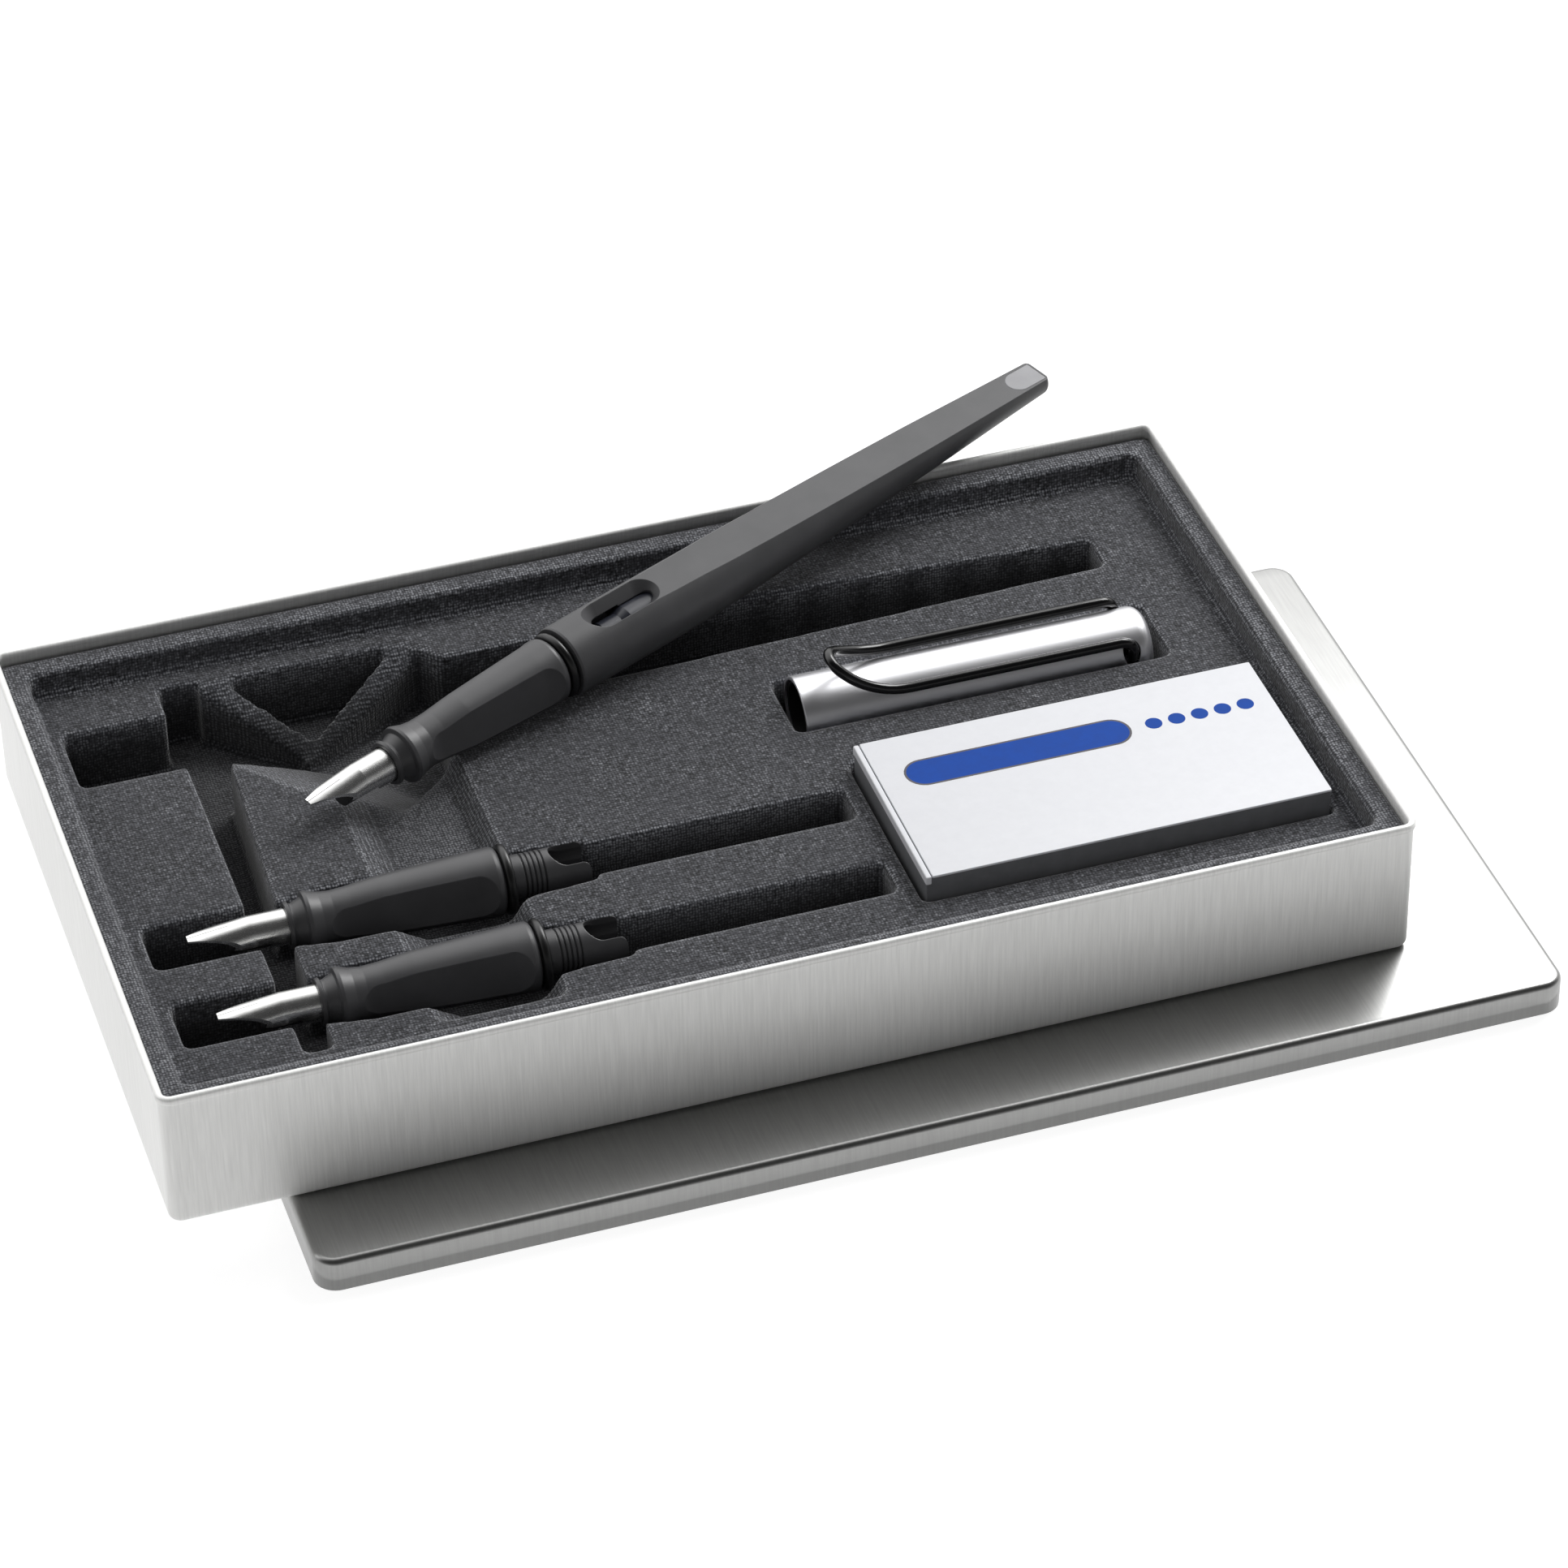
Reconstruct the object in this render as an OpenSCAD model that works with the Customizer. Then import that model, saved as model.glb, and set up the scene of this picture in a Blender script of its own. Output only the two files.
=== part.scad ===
// Calligraphy set: a brushed metal box with its lid laid under the tray, a foam insert,
// a long pen, two spare writing units, a cap with a wire clip and a carton of ink.
// X runs along the tray's front, Y to the back, Z up. The floor is Z = 0.

/* [Lid] */
// Outer length of the lid
lid_w = 217; // [216.6:0.1:218]
// Outer depth of the lid
lid_d = 127; // [126.6:0.1:128]
// Height of the lid's skirt
lid_h = 6.1; // [5.5:0.1:7]
// How far the lid lies to the right of the tray's left side
lid_x = 19.7; // [10:0.1:24]
// How far the lid lies in front of the tray's front
lid_y = 16.8; // [12:0.1:22]
// Thickness of the lid's and the tray's sheet
sheet = 0.6; // [0.5:0.05:0.7]

/* [Tray] */
// Outer length of the tray
tray_w = 215; // [214.5:0.1:215.4]
// Outer depth of the tray
tray_d = 125; // [124.5:0.1:125.4]
// Height of the tray
tray_h = 26.7; // [26:0.1:28]
// Radius of the tray's upright corners
tray_corner = 2.2; // [2:0.1:4]
// Radius of the tray's bottom edge
tray_edge = 1.5; // [1:0.1:1.8]
// Height of the rolled rim
rim_h = 1.5; // [1.2:0.1:1.8]
// How far the rim stands out from the wall
rim_out = 0.35; // [0.2:0.05:0.5]
// Width of the rolled rim
rim_w = 1.35; // [1.1:0.05:1.6]

/* [Insert] */
// How far the insert's border lies below the rim
border_drop = 2.3; // [2:0.1:3]
// How far the bed lies below the border
bed_drop = 4.9; // [4.5:0.1:5.2]
// Depth of the deep recesses below the bed
recess_depth = 12; // [11:0.1:12.5]
// Width of the border at the front and the back
border_y = 5.6; // [4.5:0.1:6.5]
// Width of the border at the left and the right
border_x = 5; // [4:0.1:6]

/* [Pen] */
// Turn of the pen about the upright axis
pen_yaw = 23.5; // [23.2:0.1:23.8]
// Rise of the pen towards its end
pen_tilt = 2.7; // [2.7:0.1:3]
// Roll of the pen about its own axis
pen_roll = 5; // [0:1:10]
// Height of the nib's tip above the floor
pen_tip_z = 29.8; // [29.8:0.1:30.5]
// Length of the pen without its cap
pen_length = 169.4; // [168:0.1:171]
// Largest radius of the barrel
barrel_r = 6.55; // [6.4:0.05:6.65]

/* [Writing unit] */
// Length of the steel nib that shows
nib_length = 16.9; // [16.5:0.1:17.2]
// Width of the nib's straight tip
tip_w = 1.5; // [1.1:0.1:1.9]
// Length of the collar between the nib and the grip
collar_length = 3.1; // [3:0.1:3.3]
// Length of the grip
grip_length = 33.6; // [33:0.1:34]
// Radius of the grip at its rear
grip_r = 5.95; // [5.8:0.05:6]
// Distance of the finger flats from the axis at their front
flat_h = 3.6; // [3.5:0.05:3.8]
// Angle of the finger flats from the top
flat_angle = 76; // [70:1:80]

/* [Cap] */
// Length of the cap
cap_length = 64.5; // [64:0.1:65]
// Outer radius of the cap
cap_r = 6.7; // [6.6:0.05:6.8]
// Radius of the clip's wire
wire_r = 0.95; // [0.85:0.05:1]
// Roll of the clip towards the front
clip_roll = 9; // [0:1:15]

/* [Ink] */
// Length of the carton
carton_l = 72.4; // [72:0.1:73]
// Width of the carton
carton_w = 38; // [38:0.1:38.4]
// Height of the carton
carton_h = 9; // [8.8:0.1:9.4]
// Thickness of the carton's board
board = 0.4; // [0.35:0.05:0.5]
// Radius of a cartridge
cartridge_r = 3.65; // [3.6:0.05:3.68]

/* [Hidden] */
$fn = 64;
round_fn = 32;

// Heights above the floor
floor_z = lid_h + sheet;
rim_z = lid_h + tray_h;
border_z = rim_z - border_drop;
bed_z = border_z - bed_drop;
base_z = bed_z - recess_depth;

// Middle of the whole set in plan, which becomes the origin
pen_reach = 138.4;
set_mid_x = (lid_x + lid_w - rim_out) / 2;
set_mid_y = (pen_reach - lid_y) / 2;

// Lid
lid_corner = tray_corner + 1.8;
lid_edge = 1.2;

// Insert
insert_gap = 0.1;
insert_w = tray_w - 2 * (sheet + insert_gap);
insert_d = tray_d - 2 * (sheet + insert_gap);
insert_corner = tray_corner - sheet;
cross_channel_x = 26.6;

// Recess of the pen in the insert
main_y = 99.6;
nib_pocket_x = 8;
nib_pocket_end = 28;
slot_end_x = 195.2;
ridge_back_y = 114;

// Spare units
spare_y = [45.2, 24.4];
spare_tip_x = 15.1;
spare_z = 25;

// Pen
pen_tip_x = 42;
pen_tip_y = 68.35;
feed_r = 2.7;
nib_bore = 2.75;
nib_r = 3.1;
nib_droop = 7;
nib_bend = 10.8;
nib_start = nib_length + 1.8;
grip_start = nib_length + collar_length;
grip_end = grip_start + grip_length;
seal_end = grip_end + 1.7;
thread_end = grip_end + 8.9;
fork_end = grip_end + 15;
thread_start = seal_end + 1.9;
thread_pitch = 0.85;
groove = [[0, 0], [0.12, 0.35], [0.24, 0.35], [0.36, 0]];
seal_r = 6.1;
seal_section = 0.8;
seal_floor = seal_r - 2 * seal_section - 0.02;
tail_r = 3.75;
barrel_start = seal_end + 0.2;
window_start = 61;
window_length = 17.2;
top_flat_near = 79.4;
top_flat_h = 5.5;
top_flat_fall = 0.0214;

// Cap
cap_x = 130.3;
cap_y = 74.4;
cap_z = 23.4;
clip_half = 5.15;
clip_h = 6.4;
clip_hinge_x = 60.3;
clip_hinge_h = 1.8;
clip_bend = 2.6;
clip_tip_x = 5.7;
clip_lift = 5.6;
loop_length = 13.5;
loop_steps = 12;
wire_sides = 14;

// Ink
carton_x = 134.2;
carton_y = 16.9;
carton_z = rim_z - 3 - carton_h;
cartridge_pitch = (carton_w - 2 * board) / 5;
neck_l = 5;
body_l = 49;
tail_l = 14;

// Points along an arc
function arc(cx, cy, r, from, to, n) = [
    for (i = [0:n]) let (a = from + (to - from) * i / n) [cx + r * cos(a), cy + r * sin(a)]
];

// Moves a piece from the tray's corner to the origin of the set
module placed() {
    translate([-set_mid_x, -set_mid_y, 0]) children();
}

// Lies a shape with its length along X, its start at s = 0
module along_x() {
    rotate([90, 0, 90]) children();
}

// Turns an outline of [distance, radius] pairs about the X axis
module turned(outline) {
    rotate([0, 90, 0])
        rotate_extrude()
            polygon([for (p = outline) [p[1], p[0]]]);
}

module tube_x(start, end, outer, inner) {
    turned([[start, inner], [start, outer], [end, outer], [end, inner]]);
}

module rounded_rect(w, d, r) {
    translate([r, 0]) square([w - 2 * r, d]);
    translate([0, r]) square([w, d - 2 * r]);
    for (x = [r, w - r], y = [r, d - r])
        translate([x, y]) circle(r);
}

// A box with round upright corners and round top and bottom edges
module rounded_block(w, d, h, corner, top, bottom) {
    profile = concat(
        [[0, 0]],
        bottom > 0 ? arc(corner - bottom, bottom, bottom, -90, 0, 4) : [[corner, 0]],
        top > 0 ? arc(corner - top, h - top, top, 0, 90, 4) : [[corner, h]],
        [[0, h]]
    );
    hull()
        for (x = [corner, w - corner], y = [corner, d - corner])
            translate([x, y, 0])
                rotate_extrude($fn = round_fn) polygon(profile);
}

// Lid and tray

module box_lid() {
    color("silver")
        placed()
            translate([lid_x, -lid_y, 0])
                difference() {
                    rounded_block(lid_w, lid_d, lid_h, lid_corner, lid_edge, 0);
                    translate([sheet, sheet, -1])
                        linear_extrude(lid_h + 1 - sheet)
                            rounded_rect(lid_w - 2 * sheet, lid_d - 2 * sheet, lid_corner - sheet);
                }
}

module tray() {
    wall_in = rim_w - rim_out;
    color("gainsboro")
        placed()
            translate([0, 0, lid_h])
                difference() {
                    union() {
                        rounded_block(tray_w, tray_d, tray_h - rim_h / 2, tray_corner, 0, tray_edge);
                        translate([-rim_out, -rim_out, tray_h - rim_h])
                            rounded_block(tray_w + 2 * rim_out, tray_d + 2 * rim_out, rim_h,
                                tray_corner + rim_out, rim_h * 0.4, rim_h * 0.4);
                    }
                    translate([sheet, sheet, sheet])
                        linear_extrude(tray_h - rim_h - sheet)
                            rounded_rect(tray_w - 2 * sheet, tray_d - 2 * sheet, insert_corner);
                    translate([wall_in, wall_in, tray_h - rim_h - 1])
                        linear_extrude(rim_h + 2)
                            rounded_rect(tray_w - 2 * wall_in, tray_d - 2 * wall_in, insert_corner);
                }
}

// Insert

module insert_outline() {
    translate([sheet + insert_gap, sheet + insert_gap])
        rounded_rect(insert_w, insert_d, insert_corner);
}

module insert_base() {
    color("dimgray")
        placed()
            translate([0, 0, floor_z])
                linear_extrude(base_z - floor_z) insert_outline();
}

module insert_border() {
    color("dimgray")
        placed()
            translate([0, 0, bed_z])
                linear_extrude(border_z - bed_z)
                    difference() {
                        insert_outline();
                        translate([border_x, border_y])
                            rounded_rect(tray_w - 2 * border_x, tray_d - 2 * border_y, insert_corner);
                    }
}

// The pen's own recess: nib pocket, throat, finger triangle behind and tapered barrel slot
module main_recess() {
    translate([nib_pocket_x, main_y - 7.4]) square([nib_pocket_end - nib_pocket_x, 15]);
    polygon([[33, 112.5], [34.5, 112], [48.5, main_y], [48.5, 93], [33, 91]]);
    polygon([[38, ridge_back_y], [69, ridge_back_y], [51, 102.4]]);
    polygon([[54, 100.8], [72.5, 111.5], [76, 107.6], [130, 107.4], [slot_end_x, 103.4],
        [slot_end_x, 95.6], [110, 92.9], [76, 92.4], [48, 92.4], [48, 98]]);
}

module spare_recess(y) {
    half = [5.2, 6.9, 7.1, 5.6, 5.2, 3.9];
    x = [30.5, 39.5, 66, 74.5, 84.5, 130.4];
    translate([nib_pocket_x + 0.6, y - 4.6]) square([nib_pocket_end - nib_pocket_x - 0.6, 11.2]);
    translate([0, y])
        for (side = [-1, 1])
            polygon([[x[0], 0], [x[0], side * half[0]], [34, side * (half[0] + 0.8)], [x[1], side * half[1]],
                [x[2], side * half[2]], [x[3], side * half[3]], [x[4], side * half[4]],
                [x[4], side * half[5]], [x[5], side * half[5]], [x[5], 0]]);
}

module cross_channel() {
    polygon([[cross_channel_x, 12.5], [31.5, 12.5], [31.5, 54], [33.6, 90], [33.6, 115],
        [cross_channel_x, 115]]);
}

// Slope that the two ridges behind the grip follow down to the pen's axis
module ridge_slope() {
    low = base_z + 2;
    translate([34, 0, 0])
        along_x()
            linear_extrude(37.6)
                polygon([[main_y - 7, low], [main_y, low], [ridge_back_y, bed_z + 0.1],
                    [ridge_back_y, bed_z + 1], [main_y - 7, bed_z + 1]]);
}

// Shallow trough for the fingers, across the grips
module finger_trough() {
    depth = 3.6;
    translate([0, 93, 0])
        rotate([90, 0, 0])
            linear_extrude(80)
                polygon([[48.5, bed_z + 1], [48.5, bed_z], [54, bed_z - depth], [68.6, bed_z - depth],
                    [71.2, bed_z], [71.2, bed_z + 1]]);
}

// Slope from the left shoulder down to the pen's grip
module shoulder_slope() {
    run = 18;
    fall = 10;
    intersection() {
        translate([34, 90, bed_z])
            rotate([0, 0, -49])
                along_x()
                    linear_extrude(60, center = true)
                        polygon([[0, 0], [run, -fall], [run + 20, -fall], [run + 20, 1], [0, 1]]);
        translate([33, 57, bed_z - fall])
            cube([38, 36.5, fall + 1]);
    }
}

module insert_bed() {
    cap_margin = 0.8;
    color("dimgray")
        placed()
            difference() {
                translate([0, 0, base_z])
                    linear_extrude(recess_depth)
                        difference() {
                            insert_outline();
                            main_recess();
                            cross_channel();
                            for (y = spare_y) spare_recess(y);
                        }
                ridge_slope();
                finger_trough();
                shoulder_slope();
                translate([cap_x - 2, cap_y - cap_r - cap_margin, cap_z - cap_r - 0.1])
                    cube([cap_length + 4, 2 * (cap_r + cap_margin), 20]);
                translate([carton_x - 0.6, carton_y - 0.6, carton_z])
                    cube([carton_l + 1.2, carton_w + 1.2, 20]);
            }
}

// Writing unit, with its axis along X and the nib's tip at the start

module grip_body() {
    neck = grip_start + 4.6;
    difference() {
        turned(concat(
            [[nib_length - 0.1, nib_r + 0.15], [nib_length - 0.1, 3.9], [nib_length + 0.5, 4.1],
             [nib_length + 0.8, 3.6], [nib_length + 1.2, 3.6], [grip_start - 0.2, 4.3],
             [grip_start, 5.15], [grip_start + 0.6, 5.25], [neck - 2, 4.6], [neck, 4.35],
             [neck + 3, 4.5], [grip_start + 13, 5.1], [grip_start + 21, 5.5],
             [grip_start + 29, grip_r - 0.1]],
            arc(grip_end - 1.2, grip_r - 1.2, 1.2, 90, 0, 4),
            [[grip_end, seal_floor], [seal_end, seal_floor], [seal_end, tail_r]],
            [for (i = [0:4], p = groove) [thread_start + thread_pitch * i + p[0], tail_r - p[1]]],
            [[fork_end, tail_r], [fork_end, tail_r - 0.7], [thread_end, tail_r - 0.7],
             [thread_end, feed_r + 0.05], [nib_start + 0.1, feed_r + 0.05],
             [nib_start + 0.1, nib_r + 0.15]]
        ));
        for (side = [-1, 1])
            rotate([side * flat_angle, 0, 0])
                finger_flat();
        fork_slot();
        fork_ends();
    }
}

// Cutter for one finger flat, which runs out in a curve at both ends
module finger_flat() {
    ramp = 5;
    from = 6.7;
    length = grip_length - from - 4.8;
    rise = 2.4;
    translate([grip_start + from, 0, flat_h])
        rotate([0, -rise, 0]) {
            translate([0, -10, 0]) cube([length, 20, 10]);
            for (x = [0, length])
                translate([x, 0, ramp])
                    rotate([90, 0, 0]) cylinder(h = 20, r = ramp, center = true);
        }
}

// Cutter that rounds the ends of the fork
module fork_ends() {
    corner = 1.4;
    prong_h = 2.5;
    hair = 0.03;
    for (turn = [0, 180])
        rotate([turn, 0, 0])
            translate([fork_end - corner - hair, 0, prong_h - corner])
                difference() {
                    translate([0, -5, 0]) cube([corner + 1, 10, 4]);
                    rotate([90, 0, 0]) cylinder(h = 12, r = corner, center = true);
                }
}

module fork_slot() {
    gap = 5.6;
    translate([thread_end - 0.4 + gap / 2, 0, 0]) {
        cylinder(h = 20, d = gap, center = true);
        translate([0, -gap / 2, -10]) cube([20, gap, 20]);
    }
}

module seal_ring_body() {
    translate([(grip_end + seal_end) / 2, 0, 0])
        rotate([0, 90, 0])
            rotate_extrude()
                translate([seal_r - seal_section, 0]) circle(seal_section);
}

// Ink feed: a round bar under the nib, cut to a slope at its front, running back through the grip
module feed_body() {
    front = 6.5;
    difference() {
        union() {
            tube_x(front, thread_end - 0.4, feed_r, 0.5);
            tube_x(thread_end - 0.4, thread_end + 1.2, 1.3, 0.5);
        }
        translate([front, -5, -feed_r])
            rotate([0, 24, 0])
                translate([-8, 0, -6]) cube([16, 10, 6]);
        drooped() {
            tube_x(0, nib_bend + 0.4, nib_r + 1, nib_bore - 0.1);
            translate([0, -5, 1.6]) cube([nib_bend + 0.4, 10, 5]);
        }
    }
}

// Bends the front of the nib down about its shoulder
module drooped() {
    translate([nib_bend, 0, 0])
        rotate([0, -nib_droop, 0])
            translate([-nib_bend, 0, 0]) children();
}

// A straight rod whose front is cut down by a drooping arch of the same radius
module bent_rod(start, end, r) {
    intersection() {
        tube_x(start, end, r, 0);
        drooped()
            translate([start - 2, 0, 0])
                along_x()
                    linear_extrude(end - start + 4) {
                        circle(r);
                        translate([-6, -12]) square([12, 12.6]);
                    }
    }
}

// The nib: a sleeve behind and a drooping blade in front, cut to its outline from above
module nib_body() {
    shoulder = 8.2;
    half_w = 2.95;
    side = nib_r + 1;
    difference() {
        intersection() {
            bent_rod(-1, nib_start, nib_r);
            union() {
                translate([0, 0, -0.6])
                    linear_extrude(6)
                        polygon([[0, -tip_w / 2], [shoulder, -half_w], [nib_bend, -side],
                            [nib_start + 1, -side], [nib_start + 1, side], [nib_bend, side],
                            [shoulder, half_w], [0, tip_w / 2]]);
                translate([nib_bend + 2.6, -5, -2]) cube([nib_start, 10, 5]);
            }
        }
        bent_rod(-2, nib_start + 1, nib_bore);
        translate([-1, -0.06, 0]) cube([8, 0.12, 6]);
    }
}

module in_pen() {
    placed()
        translate([pen_tip_x, pen_tip_y, pen_tip_z])
            rotate([0, -pen_tilt, pen_yaw])
                rotate([pen_roll, 0, 0]) children();
}

module in_spare(i) {
    placed()
        translate([spare_tip_x, spare_y[i], spare_z]) children();
}

module pen_grip() { color("dimgray") in_pen() grip_body(); }
module pen_seal_ring() { color("black") in_pen() seal_ring_body(); }
module pen_feed() { color("black") in_pen() feed_body(); }
module pen_nib() { color("lightgray") in_pen() nib_body(); }
module spare_grip(i) { color("dimgray") in_spare(i) grip_body(); }
module spare_seal_ring(i) { color("black") in_spare(i) seal_ring_body(); }
module spare_feed(i) { color("black") in_spare(i) feed_body(); }
module spare_nib(i) { color("lightgray") in_spare(i) nib_body(); }

// Barrel

// Front half of the barrel about the pen's axis, tail half about an axis that bends up a little
module barrel_solid() {
    bend_at = 86;
    bend = 1.56;
    tail = pen_length - bend_at;
    nose = 0.9;
    end_r = 3.3;
    turned([[barrel_start, 0], [barrel_start, barrel_r - 0.15], [barrel_start + 0.4, barrel_r],
        [79, barrel_r], [bend_at, barrel_r - 0.07], [bend_at + 0.6, 3], [bend_at + 0.6, 0]]);
    translate([bend_at, 0, 0])
        rotate([0, -bend, 0])
            turned(concat(
                [[-0.6, 0], [-0.6, 3], [0, barrel_r - 0.06], [6, 6.38], [21, 5.9], [34, 5.43], [54, 4.64],
                 [65, 4.1], [74, 3.66], [tail - nose, end_r]],
                arc(tail - nose, end_r - nose, nose, 75, 0, 5),
                [[tail, 0]]
            ));
}

// Everything above the barrel's long top flat
module above_top_flat() {
    fall = atan(top_flat_fall);
    entry = 8;
    run_in = 40;
    translate([top_flat_near, 0, top_flat_h])
        rotate([0, fall, 0]) {
            translate([-entry, -10, 0]) cube([120, 20, 10]);
            translate([-entry, 0, run_in])
                rotate([90, 0, 0]) cylinder(h = 20, r = run_in, center = true, $fn = 180);
        }
}

// Long window: a dish with sloping sides
module window_dish() {
    low = 1.7;
    high = 4.3;
    bottom = 3.5;
    top = 6.7;
    hair = 0.03;
    x = [window_start + high, window_start + window_length - high];
    for (c = x)
        translate([c, 0, bottom]) cylinder(h = top - bottom, r1 = low, r2 = high);
    translate([x[0], 0, 0])
        along_x()
            linear_extrude(x[1] - x[0])
                polygon([[-low + hair, bottom], [low - hair, bottom], [high - hair, top],
                    [-high + hair, top]]);
}

// Slot through the window's floor, which shows the ink
module window_slot() {
    half = 1.5;
    start = window_start + 2.6;
    length = 12.7;
    for (x = [start + half, start + length - half])
        translate([x, 0, 2]) cylinder(h = 3, r = half);
    translate([start + half, -half, 2]) cube([length - 2 * half, 2 * half, 3]);
}

module pen_barrel() {
    color("dimgray")
        in_pen()
            difference() {
                barrel_solid();
                above_top_flat();
                tube_x(barrel_start - 1, fork_end + 1.5, tail_r + 0.3, 0);
                tube_x(fork_end, fork_end + body_l + 2, cartridge_r + 0.2, 0);
                tube_x(fork_end, fork_end + body_l + tail_l + 2, 2.8, 0);
                window_dish();
                window_slot();
                inlay_shape(0);
            }
}

// Flat inlay at the end of the barrel's top
module inlay_shape(shrink) {
    width = 5;
    depth = 0.5;
    length = 7;
    margin = 0.45;
    fall = atan(top_flat_fall);
    translate([top_flat_near, 0, top_flat_h])
        rotate([0, fall, 0])
            translate([pen_length - top_flat_near - margin - length, 0, -depth])
                linear_extrude(depth + (shrink > 0 ? 0 : 1)) {
                    translate([width / 2, 0]) circle(d = width - 2 * shrink);
                    translate([width / 2, -width / 2 + shrink]) square([length - width / 2 - shrink,
                        width - 2 * shrink]);
                }
}

module barrel_inlay() {
    color("gray") in_pen() inlay_shape(0.02);
}

// Ink cartridge along X, from its neck
module cartridge_body() {
    neck_r = 2.9;
    tail_end_r = 2.6;
    turned([[0, 0], [0, 2.2], [0.6, 2.2], [1.2, neck_r], [neck_l, neck_r], [neck_l + 1.6, cartridge_r],
        [neck_l + body_l - 1, cartridge_r], [neck_l + body_l, tail_end_r],
        [neck_l + body_l + tail_l - 0.5, tail_end_r], [neck_l + body_l + tail_l, 2.1],
        [neck_l + body_l + tail_l, 0]]);
}

module pen_cartridge() {
    color("black")
        in_pen()
            translate([fork_end + 0.2 - neck_l, 0, 0]) cartridge_body();
}

// Cap, with its axis along X and its mouth at the start

module in_cap() {
    placed() translate([cap_x, cap_y, cap_z]) children();
}

module cap_shell() {
    wall = 0.6;
    crown = 2.4;
    finial_r = 3.5;
    color("whitesmoke")
        in_cap()
            difference() {
                turned(concat([[0, cap_r - wall], [0, cap_r - 0.15], [0.15, cap_r]],
                    arc(cap_length - crown, cap_r - crown, crown, 90, 0, 8),
                    [[cap_length, finial_r], [cap_length - 1.2, finial_r],
                     [cap_length - 1.2, cap_r - crown], [cap_length - crown, cap_r - wall]]));
                for (side = [-1, 1]) clip_hole(side);
            }
}

module cap_liner() {
    outer = cap_r - 0.65;
    wall = 0.6;
    depth = 46;
    color("black")
        in_cap()
            turned([[0.5, outer - wall], [0.5, outer], [depth, outer], [depth, 0], [depth - 1, 0],
                [depth - 1, outer - wall]]);
}

module cap_finial() {
    head = 3.4;
    color("black")
        in_cap()
            difference() {
                turned([[cap_length - 5, 0], [cap_length - 5, 2.2], [cap_length - 1.2, 2.2],
                    [cap_length - 1.15, head], [cap_length - 0.1, head], [cap_length + 0.1, head - 0.3],
                    [cap_length + 0.1, 0]]);
                for (turn = [0, 90])
                    rotate([turn, 0, 0])
                        translate([cap_length - 0.5, -head - 1, -0.5]) cube([2, 2 * head + 2, 1]);
            }
}

module clip_frame() {
    rotate([clip_roll, 0, 0]) children();
}

// Half of the clip's centre line: from the middle of the lifted loop back to the end inside the cap
function clip_path(side) = concat(
    [for (i = [0:loop_steps])
        let (a = 90 * i / loop_steps, near = cos(a))
        [clip_tip_x + loop_length * (1 - near), side * clip_half * pow(sin(a), 0.8),
            clip_h + clip_lift * pow(near, 2.1)]],
    [for (a = [0:18:90])
        [clip_hinge_x - clip_bend * (1 - sin(a)), side * (clip_half + 0.2 * sin(a)),
            clip_h - clip_bend * (1 - cos(a))]],
    [[clip_hinge_x, side * (clip_half + 0.2), clip_hinge_h]]
);

function backwards(points) = [for (i = [len(points) - 1:-1:1]) points[i]];
function unit(v) = v / norm(v);

// Direction of a path at one of its points
function heading(path, i) =
    unit(path[min(i + 1, len(path) - 1)] - path[max(i - 1, 0)]);

// Sideways direction of each ring, carried along the path so that the wire doesn't twist
function carried(path, i, side) =
    let (ahead = heading(path, i), flat = unit(side - (side * ahead) * ahead))
    i == len(path) - 1 ? [flat] : concat([flat], carried(path, i + 1, flat));

// A round wire along a path
module wire(path, r) {
    count = len(path);
    side = carried(path, 0, [1, 0, 0]);
    rings = [for (i = [0:count - 1], k = [0:wire_sides - 1])
        let (a = 360 * k / wire_sides, up = cross(heading(path, i), side[i]))
        path[i] + r * (cos(a) * side[i] + sin(a) * up)];
    walls = [for (i = [0:count - 2], k = [0:wire_sides - 1])
        let (next = (k + 1) % wire_sides, low = i * wire_sides, high = low + wire_sides)
        [low + k, high + k, high + next, low + next]];
    ends = [[for (k = [0:wire_sides - 1]) k],
        [for (k = [wire_sides - 1:-1:0]) (count - 1) * wire_sides + k]];
    polyhedron(rings, concat(walls, ends));
}

// Bent wire clip: a lifted loop, two legs along the cap and two ends turned down into it
module cap_clip() {
    color("black")
        in_cap()
            clip_frame()
                wire(concat(backwards(clip_path(-1)), clip_path(1)), wire_r);
}

module clip_hole(side) {
    clip_frame()
        for (back = [0, 0.7])
            translate([clip_hinge_x - back, side * (clip_half + 0.2), 0.5])
                cylinder(h = 8, r = wire_r + 0.3, $fn = 24);
}

// Ink

module ink_carton() {
    color("white")
        placed()
            translate([carton_x, carton_y, carton_z])
                difference() {
                    cube([carton_l, carton_w, carton_h]);
                    translate([board, board, board])
                        cube([carton_l - 2 * board, carton_w - 2 * board, carton_h - 2 * board]);
                }
}

module boxed_cartridge(i) {
    total = neck_l + body_l + tail_l;
    color("royalblue")
        placed()
            translate([carton_x + carton_l / 2 - total / 2,
                carton_y + board + cartridge_pitch * (i + 0.5),
                carton_z + board + cartridge_r + 0.02])
                cartridge_body();
}

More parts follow.
